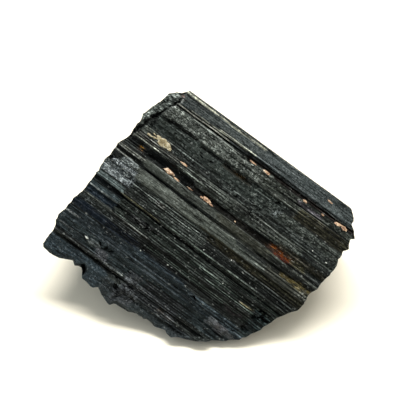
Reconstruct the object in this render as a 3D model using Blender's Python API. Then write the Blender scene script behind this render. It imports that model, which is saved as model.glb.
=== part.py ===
"""Black tourmaline (schorl): a broken length of one large crystal, as found.

Blender 4.5, metres, +Z up. The crystal is one solid, a prism with a rounded three-sided
section. Its widest side is striated along its length and leans back, facing up and forwards,
and its length runs down to the right. It is broken across at both ends and along its
underside, where a few worn spots lie flat on the ground at z = 0.

The crystal's own frame, in millimetres: "along" runs down the striations to the right,
"across" runs over the widest side from its upper edge to its lower one, and "out" points out
of that side. The frame's origin is the upper left corner of the widest side.
"""

import math
import random

import bmesh
import bpy
from mathutils import Matrix, Vector, noise

MM = 0.001

# How the crystal lies.
LEAN = math.radians(38.0)       # the widest side, leaning back from level
DIP = math.radians(36.1)        # the striations, turned down to the right on that side
FACE_CORNER = Vector((-2.14, 19.0, 40.4))

# The section across the crystal, in mm as (across, out).
FACE_WIDTH = 52.5
FACE_CROWN = 1.7                # how far the widest side bulges at its middle
UPPER_EDGE_DROP = 1.2           # the facet at the upper edge turns back this far
UPPER_FACET = 4.0               # and is this wide
LOWER_EDGE_DROP = 1.7
KEEL = (19.0, -38.0)            # the corner opposite the widest side
KEEL_ROUND = 1.6
EDGE_THICKNESS = 1.5            # at the upper and lower edges
THINNEST = 1.6                  # under the widest side, where it comes down to the ground
SIDE_BULGE = 1.8                # the two hidden sides bulge too
SIDE_RIB_DEPTH = 0.75           # and their ribs stand this far, up or down,
SIDE_RIB_START = 4.0            # from this far behind the upper and lower edges

# The ledges and grooves that run along the widest side, as (across, rise) in mm.
FACE_RIBS = (
    (0.6, -0.1), (1.6, 0.1), (2.8, 0.1), (3.6, 0.0), (3.9, -0.7), (4.5, -0.6),
    (4.9, 0.1), (6.2, 0.3), (7.4, 0.2), (8.6, 0.1), (9.1, -0.5), (10.2, -0.4),
    (11.2, -0.2), (12.6, -0.3), (13.1, 0.3), (14.0, 0.5), (14.8, 0.3), (15.2, 0.0),
    (16.2, 0.1), (17.0, -0.1), (17.4, -0.9), (18.6, -1.2), (19.4, -0.9), (19.9, 0.5),
    (21.0, 0.6), (21.8, 0.4), (22.2, -0.3), (22.7, 0.5), (23.8, 0.8), (25.2, 0.5),
    (25.7, -0.2), (26.8, -0.3), (27.4, 0.1), (28.6, 0.0), (29.6, 0.2), (30.2, 0.4),
    (30.7, -0.6), (31.8, -0.5), (32.6, 0.0), (33.4, -0.4), (34.4, -0.3), (35.2, 0.2),
    (36.0, 0.3), (36.6, -0.2), (37.6, -0.3), (38.4, 0.1), (39.6, 0.0), (40.8, 0.3),
    (42.2, 0.3), (43.0, -0.2), (44.4, -0.3), (45.6, 0.0), (46.8, 0.2), (47.8, 0.5),
    (48.4, -0.3), (49.6, -0.2), (50.6, 0.1), (51.8, -0.2),
)

# Where the striations end, as (across, along) in mm, from the upper edge to the lower one.
LEFT_RIM = (
    (0.0, -0.2), (1.5, -1.2), (2.0, -2.8), (3.2, -4.2), (6.2, -5.0), (8.2, -5.8),
    (11.2, -6.2), (18.0, -6.0), (20.8, -7.0), (24.2, -7.0), (25.8, -7.5), (28.0, -7.2),
    (35.8, -7.2), (38.8, -8.2), (45.5, -8.2), (48.0, -7.5), (52.5, -7.8),
)
RIGHT_RIM = (
    (0.0, 49.2), (0.8, 50.5), (2.0, 52.0), (2.8, 52.0), (3.8, 53.0), (5.5, 54.2),
    (6.2, 53.8), (8.4, 54.8), (9.5, 54.4), (11.8, 54.2), (13.5, 55.0), (17.5, 54.8),
    (21.2, 54.5), (23.2, 53.8), (24.5, 53.8), (26.0, 54.1), (28.2, 54.0), (29.5, 53.0),
    (30.5, 52.2), (33.0, 50.8), (34.2, 50.5), (36.2, 49.5), (37.5, 49.2), (42.8, 46.5),
    (45.5, 43.8), (47.0, 41.2), (49.0, 38.8), (51.2, 34.8), (52.5, 32.5),
)
# The ragged lower edge, as (along, across) in mm.
LOWER_RIM = (
    (-8.0, 51.5), (-7.0, 52.8), (-4.8, 53.2), (-2.0, 52.8), (1.0, 51.5), (2.0, 52.2),
    (3.8, 51.5), (5.5, 53.8), (9.0, 54.2), (10.0, 53.2), (11.8, 54.2), (15.0, 55.2),
    (15.8, 54.0), (20.0, 53.8), (22.0, 52.8), (25.0, 52.8), (32.5, 52.2), (60.0, 52.2),
)
RIM_REACH = 8.0                 # the ragged edge is felt this far up the face

# The broken ends.
END_INSET = 0.16                # the ends lean in behind the widest side, mm per mm of depth
END_LUMP = 1.7                  # height of the lumps on a broken end
END_LUMP_SIZE = 7.5
END_HOLLOW = 0.4                # each end is hollowed by this part of a lump's height
END_THICK = 12.0                # where the crystal is thinner, its end has less relief
CREVICE = ((2.0, -0.4), (18.0, -5.6))   # the face's own left edge, as (across, along)
CREVICE_REACH = (1.2, 3.0, 16.5, 19.0)  # where across the crevice opens and closes
CREVICE_DEPTH = 0.6
CREVICE_SLOPE = 0.65            # how steeply the break falls away beyond the crevice

# The broken underside: hollows over the ground, and the worn spots it stands on, in mm.
HOLLOW = 1.2
HOLLOW_SIZE = 9.0
FEET = ((-15.0, 14.0, 5.5), (-6.0, 24.5, 5.0), (29.0, -3.0, 6.0), (-3.0, -21.5, 6.0))
FOOT_DEPTH = 0.4                # how far a worn spot is cut
FOOT_FLAT = 0.65                # its flat part, and where it has risen into the hollows,
FOOT_RISE = 1.35                # as parts of its radius

# Smaller relief all over, in mm.
FACE_ROUGH = 0.14
SIDE_ROUGH = 0.7
ROUGH_SIZE = 4.0
ROUGH_STRETCH = 2.2             # the relief is longer along the striations

STATIONS = 27
END_CROWDING = 0.45             # how much closer together the stations are near the ends
WALL_ROWS = 6                   # faces from front to back on the ends and on the long edges

LIE = Matrix.Rotation(LEAN, 3, "X") @ Matrix.Rotation(-DIP, 3, "Z")


def clear_scene():
    for thing in list(bpy.data.objects):
        bpy.data.objects.remove(thing, do_unlink=True)


def make_collection(name):
    collection = bpy.data.collections.new(name)
    bpy.context.scene.collection.children.link(collection)
    return collection


def smooth_step(low, high, value):
    part = min(1.0, max(0.0, (value - low) / (high - low)))
    return part * part * (3.0 - 2.0 * part)


def look_up(table, key):
    """The table's second value at this first value, straight between its rows."""
    if key <= table[0][0]:
        return table[0][1]
    for (key_a, value_a), (key_b, value_b) in zip(table, table[1:]):
        if key <= key_b:
            return value_a + (value_b - value_a) * (key - key_a) / (key_b - key_a)
    return table[-1][1]


def lumps(point, size, octaves=3):
    """Soft noise from about -1 to 1, with lumps of this size in mm."""
    return 1.6 * noise.fractal(point / size, 1.0, 2.0, octaves)


def to_world(along, across, out):
    """From the crystal's frame to the world, both in mm."""
    return FACE_CORNER + LIE @ Vector((along, -across, out))


def floor_height(place):
    """The broken underside over one spot of the ground, in mm."""
    height = HOLLOW * (1.0 + lumps(Vector((place.x, place.y, 5.0)), HOLLOW_SIZE))
    for foot_x, foot_y, radius in FEET:
        gap = math.hypot(place.x - foot_x, place.y - foot_y)
        worn = 1.0 - smooth_step(FOOT_FLAT * radius, FOOT_RISE * radius, gap)
        height = height * (1.0 - worn) - FOOT_DEPTH * worn
    return height


def rest_on_floor(along, across, out):
    """Raise a point that would be under the broken underside up to it."""
    for _ in range(4):
        place = to_world(along, across, out)
        short = floor_height(place) - place.z
        if short <= 0.0:
            break
        out += short / LIE.col[2].z
    return out


# ---- The two surfaces: the widest side, and the two sides behind it ----

def crown(across):
    """The gentle bulge of the widest side, turned back at its two long edges."""
    middle = across / FACE_WIDTH
    bulge = FACE_CROWN * 4.0 * middle * (1.0 - middle)
    upper = UPPER_EDGE_DROP * (1.0 - smooth_step(0.0, UPPER_FACET, across))
    lower = LOWER_EDGE_DROP * middle ** 3
    return bulge - upper - lower


def beyond_crevice(along, across):
    """How much lower the crumbled rim lies, left of the face's own edge."""
    past = look_up(CREVICE, across) - along
    if past <= 0.0:
        return 0.0
    open_low, open_high, close_low, close_high = CREVICE_REACH
    reach = smooth_step(open_low, open_high, across)
    reach *= 1.0 - smooth_step(close_low, close_high, across)
    return reach * (CREVICE_DEPTH + CREVICE_SLOPE * past)


def widest_side(along, across, rise):
    """The striated side that faces up."""
    grain = Vector((along / ROUGH_STRETCH, across, 0.0))
    out = crown(across) + rise + FACE_ROUGH * lumps(grain, ROUGH_SIZE)
    return out - beyond_crevice(along, across)


def side_behind(along, across, rise):
    """The two sides behind, which meet at the rounded keel."""
    keel_across, keel_out = KEEL
    upper_part = across / keel_across
    lower_part = (FACE_WIDTH - across) / (FACE_WIDTH - keel_across)
    upper_start = crown(0.0) - EDGE_THICKNESS
    lower_start = crown(FACE_WIDTH) - EDGE_THICKNESS
    upper = upper_start + (keel_out - upper_start) * upper_part
    lower = lower_start + (keel_out - lower_start) * lower_part
    upper -= SIDE_BULGE * 4.0 * upper_part * max(0.0, 1.0 - upper_part)
    lower -= SIDE_BULGE * 4.0 * lower_part * max(0.0, 1.0 - lower_part)
    out = 0.5 * (upper + lower + math.hypot(upper - lower, 2.0 * KEEL_ROUND))
    near_edge = smooth_step(0.0, SIDE_RIB_START, across)
    near_edge *= smooth_step(0.0, SIDE_RIB_START, FACE_WIDTH - across)
    grain = Vector((along / ROUGH_STRETCH, across, 40.0))
    out += near_edge * (rise + SIDE_ROUGH * lumps(grain, ROUGH_SIZE))
    return min(rest_on_floor(along, across, out), crown(across) - THINNEST)


def end_relief(spot, seed):
    """The lumps of a broken end; the seed tells one end from the other."""
    return END_LUMP * lumps(Vector((spot.y, spot.z, seed)), END_LUMP_SIZE)


# ---- The body: a loft whose sections are rings round the two surfaces ----

def station_parts():
    parts = []
    for station in range(STATIONS):
        even = station / (STATIONS - 1)
        crowded = 0.5 - 0.5 * math.cos(math.pi * even)
        parts.append(even + END_CROWDING * (crowded - even))
    return parts


def make_surfaces():
    """Points on the widest side and behind it, as [line][station]."""
    picker = random.Random(17)
    front = []
    back = []
    for across, rise in FACE_RIBS:
        left = look_up(LEFT_RIM, across)
        right = look_up(RIGHT_RIM, across)
        depth = -side_behind(left, across, 0.0)
        left_back = left + END_INSET * depth
        depth = -side_behind(right, across, 0.0)
        right_back = right - END_INSET * depth
        back_rise = picker.uniform(-SIDE_RIB_DEPTH, SIDE_RIB_DEPTH)
        front_line = []
        back_line = []
        for part in station_parts():
            along = left + (right - left) * part
            ragged = look_up(LOWER_RIM, along) - FACE_WIDTH
            moved = across + ragged * smooth_step(FACE_WIDTH - RIM_REACH, FACE_WIDTH, across)
            front_line.append(Vector((along, moved, widest_side(along, across, rise))))
            along = left_back + (right_back - left_back) * part
            back_line.append(Vector((along, moved, side_behind(along, across, back_rise))))
        front.append(front_line)
        back.append(back_line)
    return front, back


def make_wall(front_edge, back_edge, inward=0.0, seed=0.0):
    """Rows of points between two edges, moved along the crystal by the relief of a break."""
    rows = []
    for step in range(1, WALL_ROWS):
        part = step / WALL_ROWS
        row = []
        for front_point, back_point in zip(front_edge, back_edge):
            spot = front_point.lerp(back_point, part)
            thickness = (front_point - back_point).length
            swell = min(1.0, thickness / END_THICK) * math.sin(math.pi * part)
            spot.x += inward * swell * (END_HOLLOW * END_LUMP + end_relief(spot, seed))
            row.append(spot)
        rows.append(row)
    return rows


def in_metres(point):
    return Vector((point.x, -point.y, point.z)) * MM


def add_grid(mesh, rows):
    for row, next_row in zip(rows, rows[1:]):
        for index in range(len(row) - 1):
            mesh.faces.new((row[index], row[index + 1], next_row[index + 1], next_row[index]))


def make_crystal(collection):
    front, back = make_surfaces()
    mesh = bmesh.new()

    def add_points(rows):
        return [[mesh.verts.new(in_metres(point)) for point in row] for row in rows]

    front_verts = add_points(front)
    back_verts = add_points(back)
    upper = add_points(make_wall(front[0], back[0]))
    lower = add_points(make_wall(front[-1], back[-1]))
    add_grid(mesh, front_verts)
    add_grid(mesh, back_verts)
    add_grid(mesh, [front_verts[0]] + upper + [back_verts[0]])
    add_grid(mesh, [front_verts[-1]] + lower + [back_verts[-1]])
    for station, inward, seed in ((0, 1.0, 3.0), (-1, -1.0, 8.0)):
        front_edge = [line[station] for line in front]
        back_edge = [line[station] for line in back]
        inner = make_wall(front_edge[1:-1], back_edge[1:-1], inward, seed)
        rows = [[line[station] for line in front_verts]]
        for step, row in enumerate(add_points(inner)):
            rows.append([upper[step][station]] + row + [lower[step][station]])
        rows.append([line[station] for line in back_verts])
        add_grid(mesh, rows)
    bmesh.ops.recalc_face_normals(mesh, faces=mesh.faces)
    data = bpy.data.meshes.new("tourmaline")
    mesh.to_mesh(data)
    mesh.free()
    crystal = bpy.data.objects.new("tourmaline", data)
    crystal.location = FACE_CORNER * MM
    crystal.rotation_euler = LIE.to_euler()
    collection.objects.link(crystal)
    return crystal


# ---- The ground cut: the worn spots end in one flat plane at z = 0 ----

def cut_at_ground(crystal, cutters):
    side = 0.2
    bpy.ops.mesh.primitive_cube_add(size=side, location=(0.0, 0.0, -side / 2.0))
    ground = bpy.context.object
    ground.name = "ground_cutter"
    for collection in list(ground.users_collection):
        collection.objects.unlink(ground)
    cutters.objects.link(ground)
    ground.hide_render = True
    ground.display_type = "WIRE"
    cut = crystal.modifiers.new("ground", "BOOLEAN")
    cut.operation = "DIFFERENCE"
    cut.solver = "EXACT"
    cut.object = ground


def black_tourmaline():
    """Opaque black with a slight green cast, and a dull glassy surface."""
    material = bpy.data.materials.new("black_tourmaline")
    material.use_nodes = True
    shader = material.node_tree.nodes["Principled BSDF"]
    shader.inputs["Base Color"].default_value = (0.022, 0.026, 0.024, 1.0)
    shader.inputs["Roughness"].default_value = 0.42
    shader.inputs["Metallic"].default_value = 0.0
    material.diffuse_color = (0.022, 0.026, 0.024, 1.0)
    return material


clear_scene()
parts = make_collection("tourmaline_crystal")
cutters = make_collection("cutters")
crystal = make_crystal(parts)
crystal.data.materials.append(black_tourmaline())
cut_at_ground(crystal, cutters)
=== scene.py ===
from functools import partial
import math

import bpy
import numpy as np
from mathutils import Matrix, Vector


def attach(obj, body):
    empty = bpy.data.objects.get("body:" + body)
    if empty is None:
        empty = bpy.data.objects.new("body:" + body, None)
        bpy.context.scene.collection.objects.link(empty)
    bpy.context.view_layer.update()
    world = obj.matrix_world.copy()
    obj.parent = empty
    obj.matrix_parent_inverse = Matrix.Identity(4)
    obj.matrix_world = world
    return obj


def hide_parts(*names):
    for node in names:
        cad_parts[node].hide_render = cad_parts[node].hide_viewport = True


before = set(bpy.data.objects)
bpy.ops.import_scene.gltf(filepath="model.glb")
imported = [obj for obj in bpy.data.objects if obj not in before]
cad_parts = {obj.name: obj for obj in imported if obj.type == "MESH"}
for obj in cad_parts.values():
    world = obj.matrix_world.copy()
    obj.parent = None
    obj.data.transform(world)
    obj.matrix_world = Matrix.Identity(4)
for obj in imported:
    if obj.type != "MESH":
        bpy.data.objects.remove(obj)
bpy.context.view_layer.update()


# ==== How the stone lies =====================================================
# One broken length of black tourmaline lies on its rough underside. Its widest
# striated side leans back and faces up, and its length runs down to the right.
# "Along" follows the striations, "across" goes down that side, "out" leaves it;
# all three are in millimetres from that side's upper left corner.

MM = 0.001
LEAN = math.radians(38.0)
DIP = math.radians(36.1)
FACE_CORNER = Vector((-2.14, 19.0, 40.4))
LIE = Matrix.Rotation(LEAN, 3, "X") @ Matrix.Rotation(-DIP, 3, "Z")

# ==== The crystal: its outline and its two long surfaces =====================
# Black tourmaline grows as a three-sided prism with bulging, ribbed sides. This
# one has broken across its length at both ends and again along its underside,
# so only its widest side and the two behind it are still grown faces.

FACE_WIDTH = 52.5
FACE_CROWN = 1.7                # the widest side bulges by this much
UPPER_EDGE_DROP = 1.2           # and turns back at its upper edge, over the upper facet
UPPER_FACET = 4.0
LOWER_EDGE_DROP = 1.7
KEEL = (19.0, -38.0)            # the corner opposite the widest side, as (across, out)
KEEL_ROUND = 1.6
EDGE_THICKNESS = 1.5            # of the crystal along its upper and lower edges
THINNEST = 1.6                  # of the crystal anywhere
SIDE_BULGE = 1.8

# Where the striations end, as (across, along), from the upper edge to the lower one.
LEFT_RIM = (
    (0.0, -0.2), (1.5, -1.2), (2.0, -2.8), (3.2, -4.2), (6.2, -5.0), (8.2, -5.8),
    (11.2, -6.2), (18.0, -6.0), (20.8, -7.0), (24.2, -7.0), (25.8, -7.5), (28.0, -7.2),
    (35.8, -7.2), (38.8, -8.2), (45.5, -8.2), (48.0, -7.5), (52.5, -7.8),
)
RIGHT_RIM = (
    (0.0, 49.6), (0.8, 50.9), (2.0, 52.4), (2.8, 52.5), (3.8, 53.6), (5.5, 54.9),
    (6.2, 54.4), (8.4, 55.2), (9.5, 54.7), (11.8, 54.5), (13.5, 55.2), (17.5, 55.0),
    (21.2, 54.5), (23.2, 53.8), (24.5, 53.8), (26.0, 54.1), (28.2, 54.0), (29.5, 53.0),
    (30.5, 52.2), (33.0, 50.8), (34.2, 50.5), (36.2, 49.5), (37.5, 49.2), (42.8, 46.5),
    (45.5, 43.8), (47.0, 41.2), (49.0, 38.8), (51.2, 34.8), (52.5, 32.5),
)
# The ragged lower edge, as (along, across).
LOWER_RIM = (
    (-8.0, 52.0), (-7.0, 53.2), (-4.8, 53.5), (-2.0, 53.0), (1.0, 51.5), (2.0, 52.2),
    (3.8, 51.5), (5.5, 53.8), (9.0, 54.2), (10.0, 53.2), (11.8, 54.2), (15.0, 55.2),
    (15.8, 54.0), (20.0, 53.8), (22.0, 52.8), (25.0, 52.8), (32.5, 52.2), (60.0, 52.2),
)
RIM_REACH = 3.0                 # how far in from an edge its raggedness reaches
RIM_INSET = 0.05
LOWER_LIP = 1.0                 # the widest side keeps this far above the ground
UPPER_OVERHANG = 0.45           # the upper edge juts out by this much, mm
END_INSET = 0.16                # the ends lean in behind the widest side, mm per mm
CREVICE = ((2.0, -0.4), (18.0, -5.6))   # the face's own left edge, as (across, along)
RIM_DROP = 0.35                 # how much lower the rim beyond it starts,
RIM_SLOPE = 0.6                 # and by how much more for each mm beyond it
GASH_DEPTH = 1.1

# Ledges and grooves that run the whole length, as (across, rise).
LEDGES = (
    (0.0, -0.5), (0.25, 0.0), (0.8, 0.12), (1.7, 0.05), (3.0, 0.1), (3.2, 0.25), (3.45, 0.05),
    (3.5, 0.0), (3.75, -0.35), (3.9, -0.1), (4.1, 0.05), (4.35, -0.4), (4.6, -0.35),
    (4.85, 0.2), (5.6, 0.3),
    (6.6, 0.35), (6.9, 0.05), (7.3, 0.25), (8.4, 0.2), (8.9, -0.35), (9.4, -0.5), (10.2, -0.4),
    (10.9, -0.1), (11.9, -0.15), (12.6, -0.35), (13.0, -0.3), (13.2, 0.1), (14.9, 0.15),
    (15.1, -0.1), (15.6, 0.1), (16.9, 0.0), (17.2, -0.35), (17.9, -0.65), (18.5, -1.0),
    (19.4, -0.95), (19.75, 0.35), (20.2, 0.5), (21.6, 0.45), (21.95, -0.2), (22.3, -0.1),
    (22.6, 0.45), (23.4, 0.6), (25.2, 0.5), (25.5, -0.1), (26.2, -0.25), (27.2, -0.2),
    (27.4, 0.05), (28.3, 0.1), (28.5, -0.1), (29.6, -0.05), (29.9, 0.35), (30.3, 0.3),
    (30.5, -0.35), (31.1, -0.45), (31.3, -0.1), (32.2, -0.15), (32.4, 0.1), (33.3, 0.0),
    (33.5, -0.25), (34.3, -0.2), (34.5, 0.05), (35.4, 0.0), (35.8, 0.2), (36.1, -0.1),
    (37.0, -0.2), (38.3, -0.25), (38.5, 0.0), (39.3, -0.05), (39.6, 0.15), (41.7, 0.1),
    (42.0, 0.3), (42.3, 0.05), (43.6, 0.1), (43.8, -0.15), (44.8, -0.1), (45.1, 0.1),
    (46.6, 0.0), (46.9, 0.35), (47.6, 0.45), (47.9, -0.3), (48.5, -0.25), (48.8, 0.0),
    (50.2, 0.1), (50.5, -0.15), (52.0, -0.1), (52.5, -0.6),
)


def random_at(column, row, seed):
    """One repeatable value from 0 to 1 for each cell of a lattice."""
    mixed = np.sin(column * 127.1 + row * 311.7 + seed * 74.7) * 43758.5453
    return mixed - np.floor(mixed)


def smooth(low, high, value):
    """0 up to low, 1 from high, and a soft climb between them."""
    part = np.clip((value - low) / (high - low), 0.0, 1.0)
    return part * part * (3.0 - 2.0 * part)


def band(start, full, fade, end, value):
    """0 up to start, 1 from full to fade, and 0 again from end."""
    return smooth(start, full, value) * (1.0 - smooth(fade, end, value))


def soft_noise(x, y, seed, creased=False, faceted=False):
    """Values from -1 to 1, one swell a unit; creased and faceted have straight slopes."""
    column = np.floor(x)
    row = np.floor(y)
    part_x = (x - column) if faceted else smooth(0.0, 1.0, x - column)
    part_y = (y - row) if creased or faceted else smooth(0.0, 1.0, y - row)
    near = random_at(column, row, seed) * (1.0 - part_x)
    near += random_at(column + 1.0, row, seed) * part_x
    far = random_at(column, row + 1.0, seed) * (1.0 - part_x)
    far += random_at(column + 1.0, row + 1.0, seed) * part_x
    return 2.0 * (near + (far - near) * part_y) - 1.0


def lumps(x, y, size, seed, layers=3):
    """Soft lumps of this size in mm, with finer ones on them, from about -1 to 1."""
    # Each layer is turned and moved, and about half as large and as high as the last.
    total = 0.0
    height = 0.6
    for layer in range(layers):
        turned_x = 0.8 * x - 0.6 * y
        turned_y = 0.6 * x + 0.8 * y
        total = total + height * soft_noise(turned_x / size, turned_y / size, seed + layer)
        x, y = turned_x + 3.7, turned_y - 1.9
        size *= 0.48
        height *= 0.55
    return total


def chips(x, y, size, seed):
    """Angular lumps of this size in mm, as on crushed crystal, from about -1 to 1."""
    turned_x = 0.92 * x + 0.39 * y
    turned_y = 0.92 * y - 0.39 * x
    coarse = soft_noise(turned_x / size, turned_y / size, seed, faceted=True)
    fine = soft_noise(x / (0.45 * size), y / (0.45 * size), seed + 1.0, faceted=True)
    return 0.65 * coarse + 0.35 * fine


def ribs(along, across, pitch, run, seed):
    """Straight-sided ribs this far apart that fade in and out along the crystal."""
    bent = across + 0.25 * pitch * soft_noise(along / (1.7 * run), across / (3.0 * pitch), seed + 5)
    return soft_noise(along / run, bent / pitch, seed, creased=True)


def comb(along, across, pitch, seed):
    """Narrow ribs, 0 between them and up to 1 on them, that start and stop."""
    bent = across / pitch + 0.25 * soft_noise(along / 22.0, across / (4.0 * pitch), seed)
    number = np.floor(bent)
    width = 0.35 + 0.3 * random_at(number, 0.0, seed + 1.0)
    start = 9.0 * random_at(number, 0.0, seed + 2.0)
    there = smooth(-0.5, 0.3, soft_noise(along / 7.0 + start, number, seed + 3.0))
    height = 0.3 + 0.7 * random_at(number, 0.0, seed + 4.0) * there
    return height * band(0.0, 0.16, width, width + 0.2, bent - number)


def table(rows, keys):
    """The second column of a table, read at these values of its first."""
    first, second = zip(*rows)
    return np.interp(keys, first, second)


def crown(across):
    """How far the bulging widest side stands out, turned back at both its edges."""
    middle = across / FACE_WIDTH
    bulge = FACE_CROWN * 4.0 * middle * (1.0 - middle)
    upper = UPPER_EDGE_DROP * (1.0 - smooth(0.0, UPPER_FACET, across))
    return bulge - upper - LOWER_EDGE_DROP * middle ** 3


def patch(along, across, place, seed, soft_along=0.3, soft_across=0.1):
    """How far a spot lies in a patch (along from, to, across from, to), ragged at its edges."""
    from_along, to_along, from_across, to_across = place
    moved = along + 1.3 * lumps(along, across * 2.5, 2.5, seed)
    shifted = across + 0.16 * soft_noise(along / 5.0, across / 2.0, seed + 3)
    inside = band(from_along - soft_along, from_along + soft_along,
                  to_along - soft_along, to_along + soft_along, moved)
    return inside * band(from_across - soft_across, from_across + soft_across,
                         to_across - soft_across, to_across + soft_across, shifted)


# The finish of each stretch of the widest side: where it is (along from, to, across from,
# to), its colour, how granular it is, how glossy it is, and how far it stands up.
GROOVE_BLACK_AND_SHADE = "#0b0d0d"                 # clean black glass, and painted shade in the grooves where it lies
SLATE = "#343b3b"               # a thin even bloom on a grown facet, with the sheen of the light above painted into it

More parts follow.
